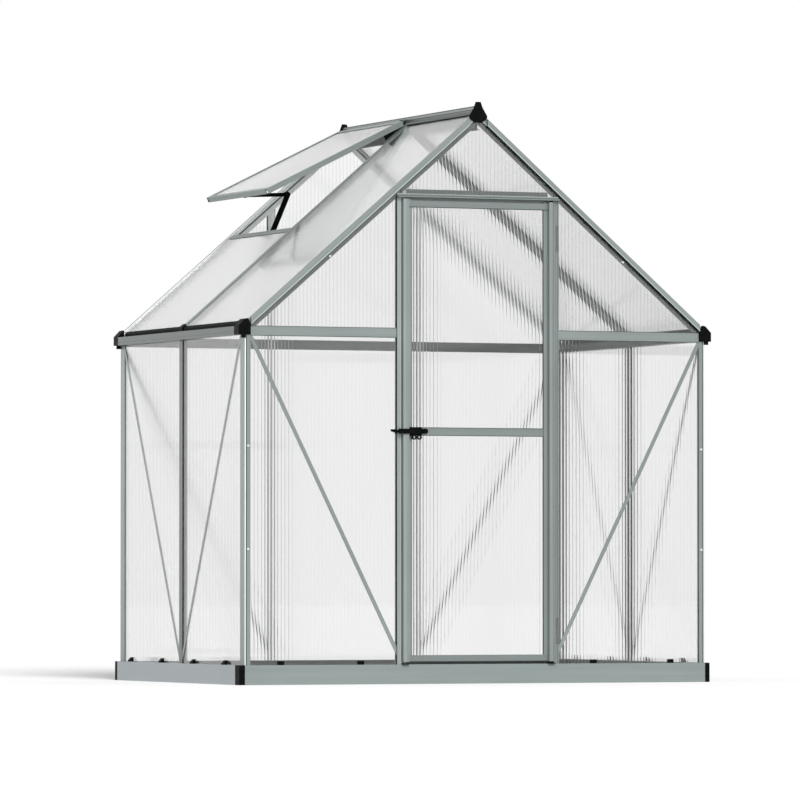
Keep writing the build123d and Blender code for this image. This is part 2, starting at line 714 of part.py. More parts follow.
# Black clips that hold the wall sheets down on the base, wedges on the wide side ledges
clip_front = panel_clip_thick - wall
gable_clip_x = ((side_face + jamb_edge) / 2 - base_width / 12, (side_face + jamb_edge) / 2 + base_width / 12)
side_clip_y = (-base_depth * 0.35, -base_depth * 0.104, base_depth * 0.148, base_depth * 0.398)
with BuildPart() as panel_clips:
    for clip_x in gable_clip_x:
        block(-clip_x - panel_clip_width / 2, -clip_x + panel_clip_width / 2,
              -gable_face - clip_front, -gable_face + wall, base_height, base_height + panel_clip_height)
    mirror(about=Plane.XZ)
    for clip_y in side_clip_y:
        with BuildSketch(along_y(clip_y + panel_clip_width / 2)):
            outline((-side_face + wall, base_height), (-side_face - side_clip_reach, base_height),
                    (-side_face - side_clip_reach, base_height + side_clip_edge),
                    (-side_face - wall, base_height + side_clip_height),
                    (-side_face + wall, base_height + side_clip_height))
        extrude(amount=panel_clip_width)
    mirror(about=Plane.YZ)
save(panel_clips, "panel_clips")

# Bolt heads on the corner posts, and on the sheets where they are bolted to the rafter webs
post_bolt_x = side_face - post_gable_leg / 2 - wall
rafter_bolt_z = roof_height(rafter_bolt_x) - rafter_bolt_q / pitch_cos
with BuildPart() as frame_bolts:
    with BuildSketch(along_y(-gable_face)):
        with Locations((-post_bolt_x, bolt_heights[0]), (-post_bolt_x, bolt_heights[1])):
            RegularPolygon(bolt_head_radius, 6)
    extrude(amount=bolt_head_height)
    with BuildSketch(along_y(-gable_face + sheet_out)):
        with Locations((-rafter_bolt_x, rafter_bolt_z)):
            RegularPolygon(bolt_head_radius, 6)
    extrude(amount=bolt_head_height)
    mirror(about=Plane.YZ)
    mirror(about=Plane.XZ)
save(frame_bolts, "frame_bolts")

# Door pivots: bracket, collar and pin below, headed pin above, rest for the latch stile
bracket_top = base_height + jamb_bead
collar_top = door_bottom - running_gap
with BuildPart() as door_pivots:
    block(jamb_stop - cap_plate, jamb_web_x - fit, pivot_y - stile_radius, -gable_face + lip_near,
          base_height, bracket_top)
    with Locations((pivot_x, pivot_y, bracket_top)):
        Cylinder(pivot_collar_radius, collar_top - bracket_top, align=(Align.CENTER, Align.CENTER, Align.MIN))
        Cylinder(pivot_radius, collar_top - bracket_top + pivot_length,
                 align=(Align.CENTER, Align.CENTER, Align.MIN))
    with Locations((pivot_x, pivot_y, header_bottom)):
        Cylinder(pivot_collar_radius, door_gap_over - fit, align=(Align.CENTER, Align.CENTER, Align.MAX))
        Cylinder(pivot_radius, door_gap_over + pivot_length, align=(Align.CENTER, Align.CENTER, Align.MAX))
    block(-jamb_web_x + fit, -jamb_stop + cap_plate, pivot_y - stile_radius, -gable_face + lip_near,
          base_height, bracket_top)
save(door_pivots, "door_pivots")

# Latch keeper on the left jamb
keeper_right = -jamb_edge - fit
with BuildPart() as latch_keeper:
    with BuildSketch(along_y(-gable_face + wall)):
        outline((keeper_right, rail_middle_z - keeper_height), (keeper_right, rail_middle_z + keeper_height),
                (keeper_right - keeper_reach, rail_middle_z + keeper_height),
                (keeper_right - keeper_reach, rail_middle_z))
    extrude(amount=panel_clip_thick)
save(latch_keeper, "latch_keeper")

# Hinge clips on the ridge flange that hold the vent's roll near its two ends
clip_hook = vent_roll_radius + running_gap
vent_clip_in = vent_rail_width + wall
with BuildPart() as vent_hinge_clips:
    for clip_y in (vent_front_y + vent_clip_in + vent_clip_length, vent_rear_y - vent_clip_in):
        with BuildSketch(across_slope(clip_y)):
            strip(vent_hinge_s - clip_hook - wall, vent_hinge_s, vent_hinge_q - clip_hook - wall, -fit - wall)
            strip(vent_hinge_s, vent_hinge_s + wall, vent_hinge_q + clip_hook, -fit - wall)
            with Locations((vent_hinge_s, vent_hinge_q)):
                Circle(clip_hook, mode=Mode.SUBTRACT)
        extrude(amount=vent_clip_length)
save(vent_hinge_clips, "vent_hinge_clips")

# Door stiles: round outer edge about the pivot, sheet channel on the inner side
stile_axis = -stile_proud + stile_radius
with BuildPart() as door_stile_hinge:
    with BuildSketch(front_wall.offset(door_bottom)):
        strip(stile_inner_x, pivot_x, -stile_proud, lip_far)
        with Locations((pivot_x, stile_axis)):
            Circle(stile_radius)
        strip(stile_inner_x - stile_lip, stile_inner_x, 0, wall)
        strip(stile_inner_x - stile_lip, stile_inner_x, lip_near, lip_far)
        strip(stile_inner_x + wall, pivot_x - pivot_radius - wall, -stile_proud + wall, lip_near,
              mode=Mode.SUBTRACT)
        with Locations((pivot_x, stile_axis)):
            Circle(pivot_radius + running_gap, mode=Mode.SUBTRACT)
    extrude(amount=stile_top - door_bottom)
save(door_stile_hinge, "door_stile_hinge")
save(mirrored(door_stile_hinge, Plane.YZ), "door_stile_latch")

# Door rails: channels between the stile lips, with the end rails' faces lapped over those lips
rail_x = stile_inner_x - fit
channel_x = stile_inner_x - stile_lip - fit
rail_top_z = stile_top - rail_drop_top
channel_back = -gable_face + lip_far
rail_spans = ((door_bottom, door_bottom + rail_height_bottom, door_bottom),
              (rail_middle_z - rail_height_middle / 2, rail_middle_z + rail_height_middle / 2,
               rail_middle_z - wall / 2),
              (rail_top_z - rail_height_top, rail_top_z, rail_top_z - wall))
with BuildPart() as door_rails:
    for low, high, web in rail_spans:
        block(-channel_x, channel_x, -gable_face, -gable_face + wall, low, high)
        block(-channel_x, channel_x, -gable_face + lip_near, channel_back, low, high)
        block(-channel_x, channel_x, -gable_face, channel_back, web, web + wall)
    for low, high, web in (rail_spans[0], rail_spans[2]):
        block(-rail_x, rail_x, -gable_face - sheet_out, -gable_face - fit, low, high)
        block(-channel_x, channel_x, -gable_face - sheet_out, -gable_face, low, high)
save(door_rails, "door_rails")

# Door sheets
with BuildPart() as door_panels:
    with BuildSketch(front_wall.offset(door_bottom + wall + fit)):
        flutes(-rail_x, rail_x, sheet_out)
    extrude(amount=rail_middle_z - wall / 2 - door_bottom - wall - 2 * fit)
    with BuildSketch(front_wall.offset(rail_middle_z + wall / 2 + fit)):
        flutes(-rail_x, rail_x, sheet_out)
    extrude(amount=rail_top_z - wall - rail_middle_z - wall / 2 - 2 * fit)
save(door_panels, "door_panels")

# Latch plate on the middle rail, with two padlock rings
latch_right = latch_knob_x - latch_knob_radius
latch_front = -gable_face - stile_proud - fit
latch_high = rail_middle_z + rail_height_middle / 2
ring_z = rail_middle_z - latch_ring_drop
with BuildPart() as latch_plate:
    with BuildSketch(along_y(latch_front + latch_plate_thick)):
        strip(latch_plate_left, latch_right, rail_middle_z - rail_height_middle / 2, latch_high)
        with Locations((latch_right - latch_ring_radius, ring_z),
                       (latch_right - latch_ring_radius - latch_ring_spacing, ring_z)):
            Circle(latch_ring_radius)
        with Locations((latch_right - latch_ring_radius, ring_z),
                       (latch_right - latch_ring_radius - latch_ring_spacing, ring_z)):
            Circle(latch_ring_hole, mode=Mode.SUBTRACT)
    extrude(amount=latch_plate_thick)
    block(latch_plate_left + wall, latch_right - wall, latch_front + latch_plate_thick, -gable_face,
          rail_middle_z - rail_height_middle / 3, rail_middle_z + rail_height_middle / 3)
    with BuildSketch(along_y(latch_front)):
        with Locations((latch_pivot_x, rail_middle_z)):
            Circle(latch_pivot_radius)
    extrude(amount=latch_bar_thick + wall)
save(latch_plate, "latch_plate")

# Latch lever with a knob at its right end and a hook at its left end
lever_back = latch_front - running_gap
hook_right = -jamb_edge + header_lip / 2
with BuildPart() as latch_lever:
    with BuildSketch(along_y(lever_back)):
        strip(-jamb_edge, latch_knob_x, rail_middle_z - latch_bar_height / 2,
              rail_middle_z + latch_bar_height / 2)
        with Locations((latch_knob_x, rail_middle_z)):
            Circle(latch_knob_radius)
        with Locations((latch_pivot_x, rail_middle_z)):
            Circle(latch_pivot_radius + running_gap, mode=Mode.SUBTRACT)
    extrude(amount=latch_bar_thick)
    with BuildSketch(along_y(lever_back - latch_bar_thick)):
        with Locations((latch_knob_x, rail_middle_z)):
            Circle(latch_knob_radius)
    extrude(amount=latch_bar_thick)
    block(-jamb_edge, hook_right, lever_back, -gable_face - jamb_bead,
          rail_middle_z - latch_bar_height / 4, rail_middle_z + latch_bar_height / 4)
save(latch_lever, "latch_lever")

# Vent, drawn open about its roll on the ridge flange
hinge_x, hinge_z = slope_point(vent_hinge_s, vent_hinge_q)
vent_slope = radians(roof_pitch - vent_open)
vent_down = (-cos(vent_slope), 0, -sin(vent_slope))
vent_along = Plane(origin=(hinge_x, 0, hinge_z), x_dir=(0, 1, 0), z_dir=vent_down)
vent_low = -vent_hinge_q - vent_seat_gap
vent_high = vent_low - vent_rail_height
vent_lip = vent_high + lip_far
vent_end_y = vent_rear_y - vent_rail_width - fit
vent_end_length = vent_rear_y - vent_front_y - 2 * vent_rail_width - 2 * fit


def vent_across(y):
    """Plane with x down the vent and y into the house, drawn towards -Y."""
    return Plane(origin=(hinge_x, y, hinge_z), x_dir=vent_down, z_dir=(0, -1, 0))


def vent_point(t, q):
    """X and Z of a point t down the vent from its hinge and q below the hinge."""
    return (hinge_x - t * cos(vent_slope) + q * sin(vent_slope),
            hinge_z - t * sin(vent_slope) - q * cos(vent_slope))


with BuildPart() as vent_frame:
    with BuildSketch(vent_along.offset(vent_neck)):
        strip(vent_front_y, vent_front_y + wall, vent_high, vent_low)
        strip(vent_front_y, vent_front_y + vent_rail_width, vent_high, vent_high + wall)
        strip(vent_front_y, vent_front_y + vent_rail_width, vent_lip - wall, vent_lip)
        strip(vent_rear_y - wall, vent_rear_y, vent_high, vent_low)
        strip(vent_rear_y - vent_rail_width, vent_rear_y, vent_high, vent_high + wall)
        strip(vent_rear_y - vent_rail_width, vent_rear_y, vent_lip - wall, vent_lip)
    extrude(amount=vent_length - vent_neck)
    with BuildSketch(vent_across(vent_end_y)):
        strip(vent_length - wall, vent_length, vent_high, vent_low)
        strip(vent_length - vent_rail_width, vent_length, vent_high, vent_high + wall)
        strip(vent_length - vent_wide_lip, vent_length, vent_lip - wall, vent_lip)
        strip(vent_neck, vent_neck + wall, vent_high, vent_low)
        strip(vent_neck, vent_neck + vent_rail_width, vent_high, vent_high + wall)
        strip(vent_neck, vent_neck + vent_rail_width, vent_lip - wall, vent_lip)
        strip(0, vent_neck + wall, vent_lip - wall, vent_lip)
        Circle(vent_roll_radius)
    extrude(amount=vent_end_length)
save(vent_frame, "vent_frame")

with BuildPart() as vent_panel:
    with BuildSketch(vent_along.offset(vent_neck + wall + fit)):
        flutes(vent_front_y + wall + fit, vent_rear_y - wall - fit, vent_high + wall + fit)
    extrude(amount=vent_length - vent_neck - 2 * wall - 2 * fit)
save(vent_panel, "vent_panel")

# Stay: pins at the sill and at the vent, and the elbow between the two arms
sill_pin = slope_point(sill_s - stay_sill_back, stay_sill_drop)
vent_pin = vent_point(vent_length - stay_vent_back, stay_vent_drop)
pin_gap = hypot(vent_pin[0] - sill_pin[0], vent_pin[1] - sill_pin[1])
unit_x = (vent_pin[0] - sill_pin[0]) / pin_gap
unit_z = (vent_pin[1] - sill_pin[1]) / pin_gap
elbow_along = (stay_lower_length ** 2 - stay_upper_length ** 2 + pin_gap ** 2) / (2 * pin_gap)
elbow_out = sqrt(stay_lower_length ** 2 - elbow_along ** 2)
elbow = (sill_pin[0] + elbow_along * unit_x + elbow_out * unit_z,
         sill_pin[1] + elbow_along * unit_z - elbow_out * unit_x)
arm_gap = 1.0
lower_y = stay_y - arm_gap
upper_y = stay_y + stay_arm_thick
sill_ear_y = lower_y - stay_arm_thick - arm_gap
vent_ear_y = upper_y + arm_gap + stay_arm_thick


def arm(start, end, width):
    """Outline of a flat arm with round ends."""
    turn = degrees(atan2(end[1] - start[1], end[0] - start[0]))
    with Locations(Location(((start[0] + end[0]) / 2, (start[1] + end[1]) / 2, 0), (0, 0, turn))):
        Rectangle(hypot(end[0] - start[0], end[1] - start[1]), width)
    with Locations(start, end):
        Circle(width / 2)


def hole(place, radius):
    """Round hole at a place."""
    with Locations(place):
        Circle(radius, mode=Mode.SUBTRACT)


with BuildPart() as stay_lower_arm:
    with BuildSketch(along_y(lower_y)):
        arm(sill_pin, elbow, stay_lower_width)
        hole(sill_pin, stay_pin_radius + running_gap)
        hole(elbow, stay_pin_radius + running_gap)
    extrude(amount=stay_arm_thick)
save(stay_lower_arm, "stay_lower_arm")

with BuildPart() as stay_upper_arm:
    with BuildSketch(along_y(upper_y)):
        arm(elbow, vent_pin, stay_arm_width)
        with Locations(vent_pin):
            Circle(stay_eye_radius)
        hole(vent_pin, stay_eye_hole)
        hole(elbow, stay_pin_radius + running_gap)
    extrude(amount=stay_arm_thick)
save(stay_upper_arm, "stay_upper_arm")

with BuildPart() as stay_knob:
    with BuildSketch(along_y(upper_y + running_gap + stay_knob_thick)):
        with Locations(elbow):
            RegularPolygon(stay_knob_radius, 10)
    extrude(amount=stay_knob_thick)
    with BuildSketch(along_y(upper_y + running_gap)):
        with Locations(elbow):
            Circle(stay_pin_radius)
    extrude(amount=upper_y + running_gap - lower_y + stay_arm_thick)
save(stay_knob, "stay_knob")

# Stay bracket hanging from the sill, with its pin
ear_half = stay_arm_width / 2
with BuildPart() as stay_sill_bracket:
    with BuildSketch(along_y(sill_ear_y)):
        outline(slope_point(sill_s, lip_far), slope_point(sill_s + vent_sill_width, lip_far),
                slope_point(sill_s - stay_sill_back + ear_half, stay_sill_drop + ear_half),
                slope_point(sill_s - stay_sill_back - ear_half, stay_sill_drop + ear_half),
                slope_point(sill_s - stay_sill_back - ear_half, stay_sill_drop - ear_half))
    extrude(amount=stay_arm_thick)
    with BuildSketch(along_y(lower_y)):
        with Locations(sill_pin):
            Circle(stay_pin_radius)
    extrude(amount=stay_arm_thick + arm_gap)
save(stay_sill_bracket, "stay_sill_bracket")

# Black fittings on the vent: stay ear with its pin, and a cheek that closes the gap by the roof bar
ear_t = vent_length - stay_vent_back
ear_root = vent_length - vent_wide_lip
cheek_top = vent_neck + 2 * wall
cheek_end = cheek_top + vent_cheek_length
with BuildPart() as vent_brackets:
    with BuildSketch(along_y(vent_ear_y)):
        outline(vent_point(ear_root, vent_lip), vent_point(ear_root + ear_half + wall, vent_lip),
                vent_point(ear_t + ear_half, stay_vent_drop + ear_half),
                vent_point(ear_t - ear_half, stay_vent_drop + ear_half),
                vent_point(ear_t - ear_half, stay_vent_drop - ear_half))
    extrude(amount=stay_arm_thick)
    with BuildSketch(along_y(vent_ear_y - stay_arm_thick)):
        with Locations(vent_pin):
            Circle(stay_pin_radius)
    extrude(amount=stay_arm_thick + arm_gap)
    with BuildSketch(along_y(vent_front_y + vent_rail_width - vent_cheek_thick)):
        outline(vent_point(cheek_top, vent_lip), vent_point(cheek_end, vent_lip),
                vent_point(cheek_end, vent_low + vent_cheek_drop), vent_point(cheek_top, vent_low + wall))
    extrude(amount=vent_cheek_thick)
save(vent_brackets, "vent_brackets")
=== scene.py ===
"""Looks for a small greenhouse: mill aluminium frame, ribbed twin-wall sheets, black moulded fittings.

Everything is in metres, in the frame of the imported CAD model.
"""

import json
from math import cos, pi, radians, sin, tan

import bpy
import numpy as np
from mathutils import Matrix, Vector


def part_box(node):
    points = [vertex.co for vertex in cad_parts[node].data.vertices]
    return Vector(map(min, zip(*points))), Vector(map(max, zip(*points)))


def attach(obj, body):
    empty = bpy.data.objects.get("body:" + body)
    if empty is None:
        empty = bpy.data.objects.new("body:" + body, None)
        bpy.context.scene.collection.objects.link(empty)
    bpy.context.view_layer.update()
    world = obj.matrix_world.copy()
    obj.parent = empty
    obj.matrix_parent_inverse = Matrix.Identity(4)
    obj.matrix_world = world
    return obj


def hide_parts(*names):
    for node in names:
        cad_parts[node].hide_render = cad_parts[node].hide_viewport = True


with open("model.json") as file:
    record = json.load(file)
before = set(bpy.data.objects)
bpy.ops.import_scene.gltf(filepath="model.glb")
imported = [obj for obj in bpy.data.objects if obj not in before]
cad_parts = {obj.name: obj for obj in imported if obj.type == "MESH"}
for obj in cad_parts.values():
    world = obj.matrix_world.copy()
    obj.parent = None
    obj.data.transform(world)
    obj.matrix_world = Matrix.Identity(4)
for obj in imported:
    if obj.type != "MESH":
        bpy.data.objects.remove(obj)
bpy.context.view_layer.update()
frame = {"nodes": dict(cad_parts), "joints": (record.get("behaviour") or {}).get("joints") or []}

bl_info = {
    "name": "Small greenhouse looks",
    "version": (1, 0, 0),
    "blender": (4, 5, 0),
    "location": "3D View > Sidebar > Greenhouse",
    "description": "Ribbed sheets, finishes and a plain studio around the packed greenhouse",
    "category": "Object",
}

MM = 0.001

# Fixed facts of the CAD model that the looks follow
ROOF_DEGREES = 40.7
VENT_OPEN_DEGREES = 14.5
ROOF_PITCH = radians(ROOF_DEGREES)
VENT_SLOPE = radians(ROOF_DEGREES - VENT_OPEN_DEGREES)
SHEET_THICK = 4.0 * MM
POST_WEB = 2.4 * MM
ROOF_APEX = 2054.02 * MM
EAVE = 1262.0 * MM
REAR_POST_HALF_FACE = 17.0 * MM

# Directions, in the quarter of the house where x and y are positive
SIDEWAYS, DEEP, UP = (1, 0, 0), (0, 1, 0), (0, 0, 1)
DOWN_ROOF = (cos(ROOF_PITCH), 0, -sin(ROOF_PITCH))
DOWN_VENT = (cos(VENT_SLOPE), 0, -sin(VENT_SLOPE))
ALONG_GABLE_BRACE = (574, 0, 1164)
ALONG_SIDE_BRACE = (0, 562, 1168)

# Which way each aluminium profile runs, and the CAD nodes that are cut from it
RUNS = {
    "corner_post": (UP, ("corner_post_front_left", "corner_post_front_right", "corner_post_rear_left",
                         "corner_post_rear_right")),
    "side_post": (UP, ("side_post_left", "side_post_right")),
    "rear_post": (UP, ("rear_posts",)),
    "left_jamb": (UP, ("door_jamb_left",)),
    "right_jamb": (UP, ("door_jamb_right",)),
    "stile": (UP, ("door_stile_hinge", "door_stile_latch")),
    "eave_beam": (SIDEWAYS, ("eave_beams_front", "eave_beam_rear")),
    "header": (SIDEWAYS, ("door_header",)),
    "rail": (SIDEWAYS, ("door_rails",)),
    "sill": (DEEP, ("vent_sill",)),
    "ridge": (DEEP, ("ridge_beam",)),
    "gutter": (DEEP, ("gutter_left", "gutter_right")),
    "rafter": (DOWN_ROOF, ("gable_rafters_front",)),
    "rear_rafter": (DOWN_ROOF, ("gable_rafters_rear",)),
    "roof_bar": (DOWN_ROOF, ("roof_bar_left", "roof_bar_right")),
    "gable_brace": (ALONG_GABLE_BRACE, ("braces_front", "braces_rear")),
    "side_brace": (ALONG_SIDE_BRACE, ("braces_left", "braces_right")),
    "vent": (DOWN_VENT, ("vent_frame",)),
}
# The same for the folded steel of the base
STEEL_RUNS = {
    "base_gable": (SIDEWAYS, ("base_rail_front", "base_rail_rear")),
    "base_side": (DEEP, ("base_rail_left", "base_rail_right")),
}
BLACK_NODES = ("base_corners", "gutter_end_caps", "ridge_end_caps", "rafter_foot_clips", "panel_clips",
               "latch_keeper", "latch_plate", "latch_lever", "stay_lower_arm", "stay_upper_arm", "stay_knob",
               "stay_sill_bracket", "vent_brackets", "vent_hinge_clips", "door_pivots")

# Lines painted along the profiles: the direction they are counted in, place, half width and colour. The dark
# lines are painted shade, where a groove, a gap, a lip's underside or a side falls in shade; the pale ones
# are painted highlights on beads, bevels and the ridge's face, and the broad pale bands of the rear post and
# rear rafters are painted light that comes through the sheets from behind.
# Sideways is counted from the middle of the house, and below from the roof's outer face.
BELOW = (-sin(ROOF_PITCH), 0, -cos(ROOF_PITCH))
BELOW_START = -ROOF_APEX * cos(ROOF_PITCH)
# Colours of the painted shade, from the deepest to the faintest, and of the painted light on the rear
# profiles
DEEPEST_SHADE, DEEP_SHADE, GREY_SHADE = "#232928", "#2C3331", "#353C3A"
SOFT_SHADE, FAINT_SHADE, PAINTED_BACKLIGHT = "#4A5250", "#6A7270", "#EEF1F0"
SHADE_AND_HIGHLIGHT_LINES = {
    "gutter": ((UP, 1247.5 * MM, 1.4 * MM, "#3C4442"),),
    "corner_post": ((SIDEWAYS, 893.0 * MM, 1.2 * MM, DEEP_SHADE), (SIDEWAYS, 897.2 * MM, 1.3 * MM, "#D0D8D5")),
    "side_post": ((DEEP, -15.0 * MM, 2.2 * MM, "#161918"),),
    "left_jamb": ((SIDEWAYS, 316.2 * MM, 0.9 * MM, DEEP_SHADE), (SIDEWAYS, 311.5 * MM, 0.7 * MM, FAINT_SHADE),
                  (SIDEWAYS, 305.5 * MM, 0.7 * MM, FAINT_SHADE)),
    "right_jamb": ((SIDEWAYS, 311.5 * MM, 0.7 * MM, SOFT_SHADE), (SIDEWAYS, 305.5 * MM, 0.7 * MM, SOFT_SHADE)),
    "stile": ((SIDEWAYS, 258.0 * MM, 1.0 * MM, SOFT_SHADE),),
    "header": ((UP, 1743.5 * MM, 1.0 * MM, DEEP_SHADE), (UP, 1737.0 * MM, 1.0 * MM, DEEP_SHADE),
               (UP, 1749.5 * MM, 1.2 * MM, "#9AA4A1")),
    "rail": ((UP, 1703.2 * MM, 1.1 * MM, GREY_SHADE), (UP, 887.2 * MM, 1.1 * MM, GREY_SHADE),
             (UP, 914.8 * MM, 1.0 * MM, GREY_SHADE), (UP, 80.2 * MM, 1.1 * MM, GREY_SHADE)),
    "eave_beam": ((UP, 1235.2 * MM, 1.1 * MM, GREY_SHADE), (UP, 1268.8 * MM, 1.0 * MM, GREY_SHADE)),
    "ridge": ((UP, 2070.6 * MM, 1.2 * MM, DEEP_SHADE), (UP, 2059.0 * MM, 1.2 * MM, DEEP_SHADE),
              (UP, 2064.5 * MM, 2.5 * MM, "#7A8280")),
    "rafter": ((BELOW, BELOW_START + 16.5 * MM, 1.5 * MM, "#A9B3B0"),
               (BELOW, BELOW_START + 19.2 * MM, 1.0 * MM, DEEPEST_SHADE)),
    "rear_rafter": ((DEEP, 605.0 * MM, 14.5 * MM, PAINTED_BACKLIGHT),
                    (BELOW, BELOW_START + 18.0 * MM, 2.0 * MM, DEEPEST_SHADE)),
    "rear_post": ((DEEP, 605.0 * MM, 14.5 * MM, PAINTED_BACKLIGHT), (SIDEWAYS, 285.0 * MM, 1.6 * MM, DEEP_SHADE)),
    "roof_bar": ((BELOW, BELOW_START + 32.0 * MM, 1.0 * MM, DEEPEST_SHADE),),
}
# Dark and light streaks of the profiles that look darker or paler than the rest: darker copies of the
# finish are painted shade on the ridge, rails, gutters and side posts, and paler copies are painted light on
# the left jamb and the base's side rails
SHADED_AND_LIT_TONES = {
    "ridge": ("#525957", "#5F6664"),
    "rail": ("#6B7371", "#78807E"),
    "left_jamb": ("#8E9694", "#9CA4A2"),
    "gutter": ("#484F4D", "#545B59"),
    "side_post": ("#565D5B", "#636A68"),
    "base_side": ("#90979A", "#999FA2"),
}

# Clear sheets: refraction of polycarbonate, the shade they cast, and how far from a rib's middle, in
# flutes, its milky line is full and gone
POLYCARBONATE_IOR = 1.58
SHEET_SHADE = "#B2B4B3"
RIB_FULL, RIB_GONE = 0.08, 0.22
# Where the mesh is cut across one flute: closer together beside the ribs, where the skins bend most
FLUTE_STEPS = (0.0, 0.025, 0.05, 0.08, 0.12, 0.17, 0.25, 0.37, 0.5, 0.63, 0.75, 0.83, 0.88, 0.92, 0.95, 0.975)
SHARP_EDGE = radians(40)

# Studio: the key light's direction and softness, the two broad lamps, the floor and the camera's film
KEY_DIRECTION, KEY_SPREAD = (0.15, 0.80, -0.58), radians(30)
LEFT_LAMP, RIM_LAMP = (-8.5, -3.6, 2.0), (-4.0, 9.0, 2.0)
LAMP_AIM, LAMP_WIDTH = (0, 0, 1.0), 4.0
FLOOR_PAINT, FLOOR_GLOW = "#F4F4F4", 0.07
FILM_WIDTH, VIEW_END = 36.0, 300.0
WHITE = (1, 1, 1, 1)


def linear(code):
    """Linear RGBA of an sRGB hex colour: c / 12.92 near black, else ((c + 0.055) / 1.055) to the 2.4."""
    srgb = np.array([int(code[i:i + 2], 16) for i in (1, 3, 5)]) / 255
    rgb = np.where(srgb <= 0.04045, srgb / 12.92, ((srgb + 0.055) / 1.055) ** 2.4)
    return (*rgb.tolist(), 1.0)


def put(tree, kind, inputs=(), **settings):
    """Add a node, set its properties, and fill or link its inputs. A link is given as (node, output)."""
    node = tree.nodes.new(kind)
    for name, value in settings.items():
        setattr(node, name, value)
    for socket, value in dict(inputs).items():
        if isinstance(value, tuple) and isinstance(value[0], bpy.types.Node):
            tree.links.new(value[0].outputs[value[1]], node.inputs[socket])
        else:
            node.inputs[socket].default_value = value
    return node


def calculate(tree, operation, *values):
    """A math node on these values or links."""
    return put(tree, "ShaderNodeMath", dict(enumerate(values)), operation=operation)


def ramp(tree, factor, low, high, dark, light):
    """A colour that goes from dark, where the factor is low, to light, where it is high."""
    colour = put(tree, "ShaderNodeValToRGB", {0: factor})
    for end, position, code in zip(colour.color_ramp.elements, (low, high), (dark, light)):
        end.position = position
        end.color = linear(code)
    return colour


def in_view(tree):
    """One for rays from the camera, from a mirroring surface or through a clear one, else zero."""
    path = put(tree, "ShaderNodeLightPath")
    seen = calculate(tree, "MAXIMUM", (path, "Is Camera Ray"), (path, "Is Glossy Ray"))
    return calculate(tree, "MAXIMUM", (seen, 0), (path, "Is Transmission Ray"))


def new_material(name):
    """An empty node material."""
    material = bpy.data.materials.new(name)
    material.use_nodes = True
    material.node_tree.nodes.clear()
    return material


def dress(node, material):
    """Give every slot of a CAD node this material."""
    piece = frame["nodes"][node]
    piece.data.materials.clear()
    piece.data.materials.append(material)


def metal(name, direction, dark, light, rough, metallic, line_width, line_length, shade_and_highlight_lines=()):
    """Extruded or rolled metal.

    The die or the rolls leave faint lines along the length, so the sheen is a little streaked and the
    colour drifts slowly. The lines are under half a millimetre apart on the real profile; they are drawn
    about ten times coarser, because finer ones vanish at this distance. Painted lines also run along the
    profile: dark ones are painted shade in grooves and gaps, pale ones are painted highlights and light. Each
    is given as the direction it is counted in, its place, its half width and its colour.
    """
    line_share, drift_share, sheen_swing = 0.6, 0.4, 0.06
    material = new_material(name)
    tree = material.node_tree
    place = put(tree, "ShaderNodeTexCoord")
    parts = put(tree, "ShaderNodeSeparateXYZ", {0: (place, "Object")})
    fold_x = calculate(tree, "ABSOLUTE", (parts, 0))
    fold_y = calculate(tree, "ABSOLUTE", (parts, 1))
    folded = put(tree, "ShaderNodeCombineXYZ", {0: (fold_x, 0), 1: (fold_y, 0), 2: (parts, 2)})
    turn = Vector(direction).normalized().to_track_quat("Z", "Y").to_euler()
    lines_at = put(tree, "ShaderNodeMapping", {"Vector": (folded, 0), "Rotation": turn,
                                               "Scale": (line_width, line_width, line_length)},
                   vector_type="TEXTURE")
    lines = put(tree, "ShaderNodeTexNoise", {"Vector": (lines_at, 0), "Scale": 1.0, "Detail": 4.0,
                                             "Roughness": 0.6})
    drift = put(tree, "ShaderNodeTexNoise", {"Vector": (folded, 0), "Scale": 3.0, "Detail": 2.0})
    streaks = calculate(tree, "MULTIPLY", (lines, 0), line_share)
    tone = calculate(tree, "MULTIPLY_ADD", (drift, 0), drift_share, (streaks, 0))
    paint = (ramp(tree, (tone, 0), 0.32, 0.68, dark, light), 0)
    sheen = put(tree, "ShaderNodeMapRange", {0: (lines, 0), 1: 0.3, 2: 0.7,
                                             3: rough - sheen_swing, 4: rough + sheen_swing})
    bump = put(tree, "ShaderNodeBump", {"Strength": 0.12, "Distance": 0.3 * MM, "Height": (lines, 0)})
    halved = put(tree, "ShaderNodeCombineXYZ", {0: (fold_x, 0), 1: (parts, 1), 2: (parts, 2)})
    # Painted shade and painted highlights, one line along the profile at a time
    for counted, middle, half_width, code in shade_and_highlight_lines:
        count = put(tree, "ShaderNodeVectorMath", {0: (halved, 0), 1: counted}, operation="DOT_PRODUCT")
        inside = calculate(tree, "COMPARE", (count, "Value"), middle, half_width)
        shaded = put(tree, "ShaderNodeMix", {0: (inside, 0), 6: paint, 7: linear(code)}, data_type="RGBA")
        paint = (shaded, 2)
    surface = put(tree, "ShaderNodeBsdfPrincipled", {"Base Color": paint, "Metallic": metallic,
                                                     "Roughness": (sheen, 0), "Normal": (bump, 0)})
    put(tree, "ShaderNodeOutputMaterial", {0: (surface, 0)})
    return material


